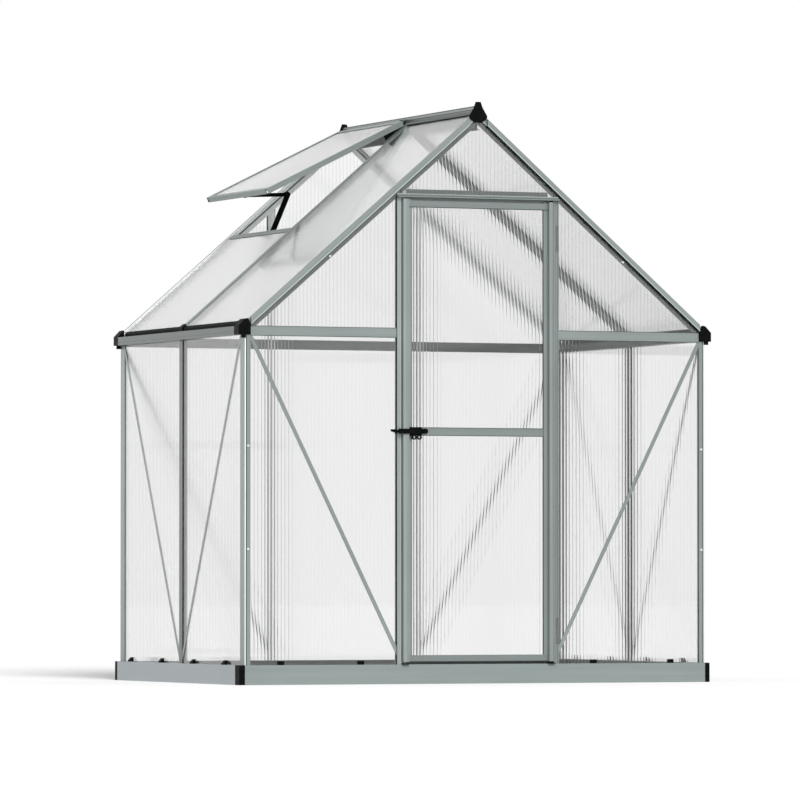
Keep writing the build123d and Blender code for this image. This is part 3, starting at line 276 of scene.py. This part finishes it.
def moulded(name, dark, light, rough, grain, depth):
    """Moulded plastic or rubber: a spark-eroded mould leaves an even fine grain that softens the sheen.

    The grain is about half a millimetre on the real moulding, and is drawn coarser so that it shows.
    """
    clouds_per_grain = 0.12
    material = new_material(name)
    tree = material.node_tree
    place = put(tree, "ShaderNodeTexCoord")
    pits = put(tree, "ShaderNodeTexVoronoi", {"Vector": (place, "Object"), "Scale": 1 / grain})
    cloud = put(tree, "ShaderNodeTexNoise", {"Vector": (place, "Object"), "Scale": clouds_per_grain / grain,
                                             "Detail": 3.0})
    colour = ramp(tree, (cloud, 0), 0.35, 0.7, dark, light)
    sheen = put(tree, "ShaderNodeMapRange", {0: (cloud, 0), 1: 0.3, 2: 0.7, 3: rough - 0.05, 4: rough + 0.08})
    bump = put(tree, "ShaderNodeBump", {"Strength": 0.25, "Distance": depth, "Height": (pits, 0)})
    surface = put(tree, "ShaderNodeBsdfPrincipled", {"Base Color": (colour, 0), "Roughness": (sheen, 0),
                                                     "Specular IOR Level": 0.04, "Normal": (bump, 0)})
    put(tree, "ShaderNodeOutputMaterial", {0: (surface, 0)})
    return material


def twin_wall(name, clear, rib, shaded_upper_rib, rough):
    """Extruded clear polycarbonate: glossy skins, a slightly milky line at each rib.

    Above the eaves the ribs are painted a darker colour: painted shade for the sloping roof sheets that stand
    behind them there, against which they show more. Light for the inside goes straight through: shadow and
    diffuse rays meet an even, lightly shaded surface.
    """
    haze_share = 0.1
    material = new_material(name)
    tree = material.node_tree
    flutes = put(tree, "ShaderNodeUVMap", uv_map="flutes")
    parts = put(tree, "ShaderNodeSeparateXYZ", {0: (flutes, 0)})
    cycle = calculate(tree, "PINGPONG", (parts, 0), 0.5)
    haze = put(tree, "ShaderNodeTexNoise", {"Vector": (flutes, 0), "Scale": 3.0, "Detail": 2.0})
    soft = calculate(tree, "MULTIPLY_ADD", (haze, 0), haze_share, (cycle, 0))
    on_rib = put(tree, "ShaderNodeMapRange", {0: (soft, 0), 1: RIB_FULL, 2: RIB_GONE, 3: 1.0, 4: 0.0})
    place = put(tree, "ShaderNodeTexCoord")
    height = put(tree, "ShaderNodeSeparateXYZ", {0: (place, "Object")})
    # Above the eaves the ribs are painted darker: painted shade for the roof sheets behind them
    above = calculate(tree, "GREATER_THAN", (height, 2), EAVE)
    milk = put(tree, "ShaderNodeMix", {0: (above, 0), 6: linear(rib), 7: linear(shaded_upper_rib)}, data_type="RGBA")
    colour = put(tree, "ShaderNodeMix", {0: (on_rib, 0), 6: linear(clear), 7: (milk, 2)}, data_type="RGBA")
    glass = put(tree, "ShaderNodeBsdfPrincipled", {"Base Color": (colour, 2), "Transmission Weight": 1.0,
                                                   "Roughness": rough, "IOR": POLYCARBONATE_IOR})
    through = put(tree, "ShaderNodeBsdfTransparent", {"Color": linear(SHEET_SHADE)})
    path = put(tree, "ShaderNodeLightPath")
    light_only = calculate(tree, "MAXIMUM", (path, "Is Shadow Ray"), (path, "Is Diffuse Ray"))
    mixed = put(tree, "ShaderNodeMixShader", {0: (light_only, 0), 1: (glass, 0), 2: (through, 0)})
    put(tree, "ShaderNodeOutputMaterial", {0: (mixed, 0)})
    return material


def sheet_arrays(origin, across, along, outward, width, length, look):
    """Vertices, faces and flute coordinates of one ribbed sheet.

    Point (t, v) of the outer skin is origin + across t + along v, sunk by half the hollow. With u going from
    0 to 1 across a flute and d the distance to the nearest rib, the hollow is the sag times 1 - (2 u - 1)
    squared, plus the fillet times 1 - exp(-(d / fillet width) squared). The inner skin lies a sheet's
    thickness below, raised by the other half. length gives v at the far end for every t. Strips between the
    two skins close all four edges.
    """
    flutes = max(1, round(width / look.flute_pitch))
    u = np.append(np.tile(FLUTE_STEPS, flutes), 0.0)
    t = np.append((np.arange(flutes)[:, None] + np.array(FLUTE_STEPS)).ravel(), flutes) * width / flutes
    rib_distance = np.minimum(u, 1 - u) * width / flutes
    hollow = (look.sag * (1 - (2 * u - 1) ** 2)
              + look.fillet * (1 - np.exp(-(rib_distance / look.fillet_width) ** 2)))
    far = length(t)
    count = len(t)
    v = np.concatenate([np.zeros(count), far, np.zeros(count), far])
    outer = hollow / 2
    inner = SHEET_THICK - hollow / 2
    depth = np.concatenate([outer, outer, inner, inner])
    points = (np.asarray(origin) + np.outer(np.tile(t, 4), across) + np.outer(v, along)
              - np.outer(depth, outward))
    uv = np.column_stack([np.tile(t * flutes / width, 4), v])
    near = np.arange(count - 1)
    out_low, out_high, in_low, in_high = (near + k * count for k in range(4))
    last = count - 1
    faces = np.concatenate([
        np.column_stack([out_low, out_low + 1, out_high + 1, out_high]),
        np.column_stack([in_low, in_high, in_high + 1, in_low + 1]),
        np.column_stack([out_low, in_low, in_low + 1, out_low + 1]),
        np.column_stack([out_high, out_high + 1, in_high + 1, in_high]),
        np.array([[0, count, 3 * count, 2 * count],
                  [last, 2 * count + last, 3 * count + last, count + last]]),
    ])
    return points, faces, uv


def sheet_piece(name, sheets, material, look):
    """One piece made of several ribbed sheets, with its flute coordinates as a UV map."""
    all_points, all_faces, all_flutes = zip(*(sheet_arrays(*sheet, look) for sheet in sheets))
    starts = np.cumsum([0] + [len(points) for points in all_points])
    faces = np.concatenate([faces + start for faces, start in zip(all_faces, starts)])
    flutes = np.concatenate(all_flutes)
    mesh = bpy.data.meshes.new(name)
    mesh.from_pydata(np.concatenate(all_points).tolist(), [], faces.tolist())
    corners = np.zeros(len(mesh.loops), np.int32)
    mesh.loops.foreach_get("vertex_index", corners)
    mesh.uv_layers.new(name="flutes").data.foreach_set("uv", flutes[corners].astype(np.float32).ravel())
    mesh.shade_smooth()
    mesh.set_sharp_from_angle(angle=SHARP_EDGE)
    mesh.materials.append(material)
    piece = bpy.data.objects.new(name, mesh)
    bpy.context.scene.collection.objects.link(piece)
    return piece


class GlazingLook(bpy.types.PropertyGroup):
    """Sizes and colours of the twin-wall sheets."""

    flute_pitch: bpy.props.FloatProperty(
        name="Flute pitch", description="Distance from rib to rib", default=14.5 * MM, unit="LENGTH")
    sag: bpy.props.FloatProperty(
        name="Sag", description="How far the two skins sag together between ribs",
        default=0.085 * MM, unit="LENGTH", precision=6)
    fillet: bpy.props.FloatProperty(
        name="Fillet", description="How far the two skins swell together at a rib",
        default=0.13 * MM, unit="LENGTH", precision=6)
    fillet_width: bpy.props.FloatProperty(
        name="Fillet width", description="Width of the swelling beside a rib",
        default=1.2 * MM, unit="LENGTH", precision=6)
    roughness: bpy.props.FloatProperty(
        name="Haze", description="Roughness of the skins", default=0.015)
    clear: bpy.props.StringProperty(
        name="Clear colour", description="Colour between ribs", default="#F6F6F6")
    rib: bpy.props.StringProperty(
        name="Rib colour", description="Colour at a rib", default="#F3F3F3")
    # The ribs above the eaves are a darker colour: painted shade for the roof sheets behind them
    shaded_upper_rib: bpy.props.StringProperty(
        name="Upper rib colour", description="Colour at a rib above the eaves", default="#E6E8E7")
    vent_clear: bpy.props.StringProperty(
        name="Vent colour", description="Colour of the vent's sheet between ribs", default="#EBEDEC")
    vent_rib: bpy.props.StringProperty(
        name="Vent rib colour", description="Colour of the vent's sheet at a rib", default="#E4E6E5")


class FinishLook(bpy.types.PropertyGroup):
    """Colours of the metal, plastic and rubber."""

    aluminium_dark: bpy.props.StringProperty(
        name="Aluminium, dark", description="Darker streaks of the mill finish", default="#757D7B")
    aluminium_light: bpy.props.StringProperty(
        name="Aluminium, light", description="Lighter streaks of the mill finish", default="#838B89")
    steel_dark: bpy.props.StringProperty(
        name="Base steel, dark", description="Darker part of the base coat", default="#737C7B")
    steel_light: bpy.props.StringProperty(
        name="Base steel, light", description="Lighter part of the base coat", default="#7C8584")
    bolt_dark: bpy.props.StringProperty(
        name="Bolts, dark", description="Darker part of the bolt heads", default="#D2D6D6")
    bolt_light: bpy.props.StringProperty(
        name="Bolts, light", description="Lighter part of the bolt heads", default="#F2F4F4")
    black_dark: bpy.props.StringProperty(
        name="Black plastic, dark", description="Darker part of the mouldings", default="#040505")
    black_light: bpy.props.StringProperty(
        name="Black plastic, light", description="Lighter part of the mouldings", default="#0A0B0B")
    seal_dark: bpy.props.StringProperty(
        name="Seal, dark", description="Darker part of the rubber seals", default="#141616")
    seal_light: bpy.props.StringProperty(
        name="Seal, light", description="Lighter part of the rubber seals", default="#222525")
    line_width: bpy.props.FloatProperty(
        name="Line width", description="Width of a drawing line on metal", default=5.0 * MM, unit="LENGTH")
    line_length: bpy.props.FloatProperty(
        name="Line length", description="Length of a drawing line on metal",
        default=900.0 * MM, unit="LENGTH")


class StudioLook(bpy.types.PropertyGroup):
    """Camera, lamps and floor."""

    camera_place: bpy.props.FloatVectorProperty(
        name="Camera place", description="Where the camera stands",
        default=(-9.3066, -21.7185, 0.3806), subtype="TRANSLATION")
    camera_yaw: bpy.props.FloatProperty(
        name="Camera yaw", description="Turn of the view from +Y towards +X",
        default=radians(23.110), subtype="ANGLE")
    camera_pitch: bpy.props.FloatProperty(
        name="Camera pitch", description="Tilt of the view above the horizon",
        default=radians(1.578), subtype="ANGLE")
    camera_lens: bpy.props.FloatProperty(
        name="Lens", description="Focal length in millimetres on a 36 mm sensor", default=289.54)
    sky: bpy.props.FloatProperty(
        name="Sky", description="Strength of the even light from all round", default=0.33)
    key: bpy.props.FloatProperty(
        name="Key", description="Strength of the soft key light", default=4.0)
    card: bpy.props.FloatProperty(
        name="Card", description="Power of the broad lamp on the left", default=130.0)
    rim: bpy.props.FloatProperty(
        name="Rim", description="Power of the broad lamp behind on the left", default=50.0)
    floor_size: bpy.props.FloatProperty(
        name="Floor", description="Half the floor's width", default=60.0, unit="LENGTH")


class GREENHOUSE_OT_metal(bpy.types.Operator):
    """Give the aluminium profiles, the base rails and the bolts their metal finishes"""

    bl_idname = "greenhouse.metal"
    bl_label = "Metal finishes"

    def execute(self, context):
        look = context.scene.greenhouse_finish
        for run, (direction, nodes) in RUNS.items():
            # A profile with its own tones takes a darker copy of the finish, which is painted shade, and a
            # paler copy is painted light
            dark, light = SHADED_AND_LIT_TONES.get(run, (look.aluminium_dark, look.aluminium_light))
            profile = metal(f"Mill aluminium, {run}", direction, dark, light, rough=0.40, metallic=0.55,
                            line_width=look.line_width, line_length=look.line_length,
                            shade_and_highlight_lines=SHADE_AND_HIGHLIGHT_LINES.get(run, ()))
            for node in nodes:
                dress(node, profile)
        for run, (direction, nodes) in STEEL_RUNS.items():
            # The base's side rails take a paler copy of the coat, which is painted light
            dark, light = SHADED_AND_LIT_TONES.get(run, (look.steel_dark, look.steel_light))
            rail = metal(f"Zinc coated steel, {run}", direction, dark, light, rough=0.5, metallic=0.4,
                         line_width=4 * look.line_width, line_length=look.line_length)
            for node in nodes:
                dress(node, rail)
        bolt = metal("Stainless steel, turned", UP, look.bolt_dark, look.bolt_light, rough=0.3, metallic=1.0,
                     line_width=2 * MM, line_length=2 * MM)
        dress("frame_bolts", bolt)
        return {"FINISHED"}


class GREENHOUSE_OT_plastic(bpy.types.Operator):
    """Give the black mouldings and the eave seals their finishes"""

    bl_idname = "greenhouse.plastic"
    bl_label = "Plastic and rubber"

    def execute(self, context):
        look = context.scene.greenhouse_finish
        black = moulded("Moulded black nylon", look.black_dark, look.black_light,
                        rough=0.5, grain=1.6 * MM, depth=0.15 * MM)
        for node in BLACK_NODES:
            dress(node, black)
        seal = moulded("Extruded rubber seal", look.seal_dark, look.seal_light,
                       rough=0.7, grain=2.5 * MM, depth=0.1 * MM)
        dress("eave_seals", seal)
        return {"FINISHED"}


class GREENHOUSE_OT_sheets(bpy.types.Operator):
    """Build the ribbed twin-wall sheets in place of the plain CAD sheets"""

    bl_idname = "greenhouse.sheets"
    bl_label = "Twin-wall sheets"

    def execute(self, context):
        look = context.scene.greenhouse_glazing
        kind = "Extruded twin-wall polycarbonate"
        clear = twin_wall(kind, look.clear, look.rib, look.shaded_upper_rib, look.roughness)
        door = twin_wall(f"{kind}, door", look.clear, look.rib, look.rib, look.roughness)
        vent = twin_wall(f"{kind}, vent", look.vent_clear, look.vent_rib, look.vent_rib, look.roughness)
        tints = {"vent_sheet": vent, "door_sheets": door}
        for name, node, body, sheets in self.places():
            piece = sheet_piece(name, sheets, tints.get(name, clear), look)
            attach(piece, body)
            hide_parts(node)
        return {"FINISHED"}

    def places(self):
        """Name, CAD node, body and sheets of every glazed piece, from the boxes of the CAD nodes."""
        slope = tan(ROOF_PITCH)
        middle_rail = next(joint for joint in frame["joints"] if joint["name"] == "latch_turn")["pos_m"][2]
        rear_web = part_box("rear_posts")[1].x - REAR_POST_HALF_FACE
        half_web = POST_WEB / 2

        def flat(height):
            """A far edge square to the flutes."""
            return lambda t: np.full_like(t, height)

        def gabled(low, x_at, peak):
            """A far edge under the roof: the height at x is the peak less |x| times the roof's slope."""
            return lambda t: peak - slope * np.abs(x_at(t)) - low

        def front(x0, x1, low, y, length):
            """A sheet in the front gable."""
            return ((x0, y, low), (1, 0, 0), (0, 0, 1), (0, -1, 0), x1 - x0, length)

        def rear(x0, x1, low, y, length):
            """A sheet in the rear gable, counted from its right end."""
            return ((x1, y, low), (-1, 0, 0), (0, 0, 1), (0, 1, 0), x1 - x0, length)

        lo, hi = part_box("side_panels_left")
        ends = ((lo.y, -half_web), (half_web, hi.y))
        yield ("side_sheets_left", "side_panels_left", "frame",
               [((lo.x, y1, lo.z), (0, -1, 0), (0, 0, 1), (-1, 0, 0), y1 - y0, flat(hi.z - lo.z))
                for y0, y1 in ends])
        lo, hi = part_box("side_panels_right")
        yield ("side_sheets_right", "side_panels_right", "frame",
               [((hi.x, y0, lo.z), (0, 1, 0), (0, 0, 1), (1, 0, 0), y1 - y0, flat(hi.z - lo.z))
                for y0, y1 in ends])

        lo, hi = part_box("front_panel_left")
        top_left = gabled(lo.z, lambda t, x0=lo.x: x0 + t, hi.z + slope * -hi.x)
        yield ("front_sheet_left", "front_panel_left", "frame", [front(lo.x, hi.x, lo.z, lo.y, top_left)])
        lo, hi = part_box("front_panel_right")
        top_right = gabled(lo.z, lambda t, x0=lo.x: x0 + t, hi.z + slope * lo.x)
        yield ("front_sheet_right", "front_panel_right", "frame", [front(lo.x, hi.x, lo.z, lo.y, top_right)])
        lo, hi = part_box("gable_panel_front")
        top_gable = gabled(lo.z, lambda t, x0=lo.x: x0 + t, hi.z)
        yield ("gable_sheet_front", "gable_panel_front", "frame", [front(lo.x, hi.x, lo.z, lo.y, top_gable)])

        lo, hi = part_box("rear_panels")
        spans = ((lo.x, -rear_web - half_web), (-rear_web + half_web, rear_web - half_web),
                 (rear_web + half_web, hi.x))
        yield ("rear_sheets", "rear_panels", "frame",
               [rear(x0, x1, lo.z, hi.y, gabled(lo.z, lambda t, x1=x1: x1 - t, hi.z)) for x0, x1 in spans])

        lo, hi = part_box("door_panels")
        spans = ((lo.z, middle_rail - half_web), (middle_rail + half_web, hi.z))
        yield ("door_sheets", "door_panels", "door",
               [front(lo.x, hi.x, z0, lo.y, flat(z1 - z0)) for z0, z1 in spans])

        for side, node in (("front", "roof_panel_left_front"), ("rear", "roof_panel_left_rear")):
            lo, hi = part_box(node)
            yield (f"roof_sheet_left_{side}", node, "frame",
                   [self.sloped(lo, hi, lo.y, hi.y, ROOF_PITCH, -1)])
        lo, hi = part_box("roof_panels_right")
        spans = ((lo.y, -half_web), (half_web, hi.y))
        yield ("roof_sheets_right", "roof_panels_right", "frame",
               [self.sloped(lo, hi, y0, y1, ROOF_PITCH, 1) for y0, y1 in spans])
        lo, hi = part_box("vent_panel")
        yield "vent_sheet", "vent_panel", "vent", [self.sloped(lo, hi, lo.y, hi.y, VENT_SLOPE, -1)]

    def sloped(self, lo, hi, y0, y1, pitch, side):
        """A sheet on a slope: it starts at the box's upper edge and runs down to the box's outer edge."""
        down = (side * cos(pitch), 0, -sin(pitch))
        out = (side * sin(pitch), 0, cos(pitch))
        upper_x = hi.x if side < 0 else lo.x
        start_x = upper_x + side * SHEET_THICK * sin(pitch)
        end_x = lo.x if side < 0 else hi.x
        run = abs(end_x - start_x) / cos(pitch)
        start_y, across = (y0, (0, 1, 0)) if side < 0 else (y1, (0, -1, 0))
        return ((start_x, start_y, hi.z), across, down, out, y1 - y0, lambda t: np.full_like(t, run))


class GREENHOUSE_OT_stage(bpy.types.Operator):
    """Set the camera, the white room, the soft lamps and the floor"""

    bl_idname = "greenhouse.stage"
    bl_label = "Studio"

    def execute(self, context):
        scene = context.scene
        look = scene.greenhouse_studio
        scene.view_settings.view_transform = "Standard"
        self.camera(scene, look)
        self.room(scene, look.sky)
        key = self.lamp(scene, "key", "SUN", look.key, Vector(KEY_DIRECTION))
        key.data.angle = KEY_SPREAD
        floor = self.floor(scene, look.floor_size)

        # No lamp shines back from the sheets, and the two broad lamps are for the frame alone: the left one
        # draws a bright line on the posts' bevels, the one behind gives the side faces their sheen
        glazing = [piece for piece in scene.objects
                   if piece.type == "MESH" and "flutes" in piece.data.uv_layers]
        key.light_linking.receiver_collection = self.all_but("all_but_sheets", glazing)
        frame_alone = self.all_but("all_but_sheets_and_floor", [floor, *glazing])
        for name, power, place in (("left_lamp", look.card, LEFT_LAMP), ("rim_lamp", look.rim, RIM_LAMP)):
            lamp = self.lamp(scene, name, "AREA", power, Vector(LAMP_AIM) - Vector(place))
            lamp.data.size = LAMP_WIDTH
            lamp.location = place
            lamp.light_linking.receiver_collection = frame_alone
        return {"FINISHED"}

    def camera(self, scene, look):
        """The camera that was fitted to the photograph."""
        camera = bpy.data.objects.new("camera", bpy.data.cameras.new("camera"))
        camera.data.lens = look.camera_lens
        camera.data.sensor_width = FILM_WIDTH
        camera.data.clip_end = VIEW_END
        camera.location = look.camera_place
        camera.rotation_euler = (pi / 2 + look.camera_pitch, 0, -look.camera_yaw)
        scene.collection.objects.link(camera)
        scene.camera = camera

    def room(self, scene, sky):
        """A white room: seen, mirrored and looked through at strength 1, and lighting softly."""
        world = bpy.data.worlds.new("white_room")
        world.use_nodes = True
        tree = world.node_tree
        tree.nodes.clear()
        strength = put(tree, "ShaderNodeMapRange", {0: (in_view(tree), 0), 3: sky, 4: 1.0})
        room = put(tree, "ShaderNodeBackground", {"Color": WHITE, "Strength": (strength, 0)})
        put(tree, "ShaderNodeOutputWorld", {0: (room, 0)})
        scene.world = world

    def floor(self, scene, half):
        """A pale floor: its own paint plus a little glow in view, so that it meets the white room unseen."""
        paint = new_material("Matt white floor paint")
        tree = paint.node_tree
        lift = calculate(tree, "MULTIPLY", (in_view(tree), 0), FLOOR_GLOW)
        matt = put(tree, "ShaderNodeBsdfDiffuse", {"Color": linear(FLOOR_PAINT)})
        glow = put(tree, "ShaderNodeEmission", {"Color": WHITE, "Strength": (lift, 0)})
        both = put(tree, "ShaderNodeAddShader", {0: (matt, 0), 1: (glow, 0)})
        put(tree, "ShaderNodeOutputMaterial", {0: (both, 0)})
        mesh = bpy.data.meshes.new("floor")
        corners = [(-half, -half, 0), (half, -half, 0), (half, half, 0), (-half, half, 0)]
        mesh.from_pydata(corners, [], [(0, 1, 2, 3)])
        mesh.materials.append(paint)
        floor = bpy.data.objects.new("floor", mesh)
        scene.collection.objects.link(floor)
        return floor

    def lamp(self, scene, name, kind, power, direction):
        """A lamp that shines in this direction."""
        lamp = bpy.data.objects.new(name, bpy.data.lights.new(name, kind))
        lamp.data.energy = power
        lamp.rotation_euler = direction.to_track_quat("-Z", "Y").to_euler()
        scene.collection.objects.link(lamp)
        return lamp

    def all_but(self, name, pieces):
        """A collection that keeps a lamp's light off these pieces."""
        unlit = bpy.data.collections.new(name)
        for piece in pieces:
            unlit.objects.link(piece)
        for member in unlit.collection_objects:
            member.light_linking.link_state = "EXCLUDE"
        return unlit


STEPS = ("metal", "plastic", "sheets", "stage")


class GREENHOUSE_PT_panel(bpy.types.Panel):
    """The greenhouse's steps in the sidebar"""

    bl_idname = "GREENHOUSE_PT_panel"
    bl_label = "Greenhouse"
    bl_space_type = "VIEW_3D"
    bl_region_type = "UI"
    bl_category = "Greenhouse"

    def draw(self, context):
        for step in STEPS:
            self.layout.operator(f"greenhouse.{step}")
        for group in ("greenhouse_glazing", "greenhouse_finish", "greenhouse_studio"):
            look = getattr(context.scene, group)
            box = self.layout.box()
            for name in look.bl_rna.properties.keys():
                if name not in ("rna_type", "name"):
                    box.prop(look, name)


CLASSES = (GlazingLook, FinishLook, StudioLook, GREENHOUSE_OT_metal, GREENHOUSE_OT_plastic,
           GREENHOUSE_OT_sheets, GREENHOUSE_OT_stage, GREENHOUSE_PT_panel)


def register():
    """Register the classes and hang the settings on the scene."""
    for cls in CLASSES:
        bpy.utils.register_class(cls)
    bpy.types.Scene.greenhouse_glazing = bpy.props.PointerProperty(type=GlazingLook)
    bpy.types.Scene.greenhouse_finish = bpy.props.PointerProperty(type=FinishLook)
    bpy.types.Scene.greenhouse_studio = bpy.props.PointerProperty(type=StudioLook)


def unregister():
    """Take the settings and the classes away again."""
    del bpy.types.Scene.greenhouse_studio
    del bpy.types.Scene.greenhouse_finish
    del bpy.types.Scene.greenhouse_glazing
    for cls in reversed(CLASSES):
        bpy.utils.unregister_class(cls)


def main():
    """Register the classes, then run every step in order."""
    register()
    for step in STEPS:
        getattr(bpy.ops.greenhouse, step)()


if __name__ == "__main__":
    main()
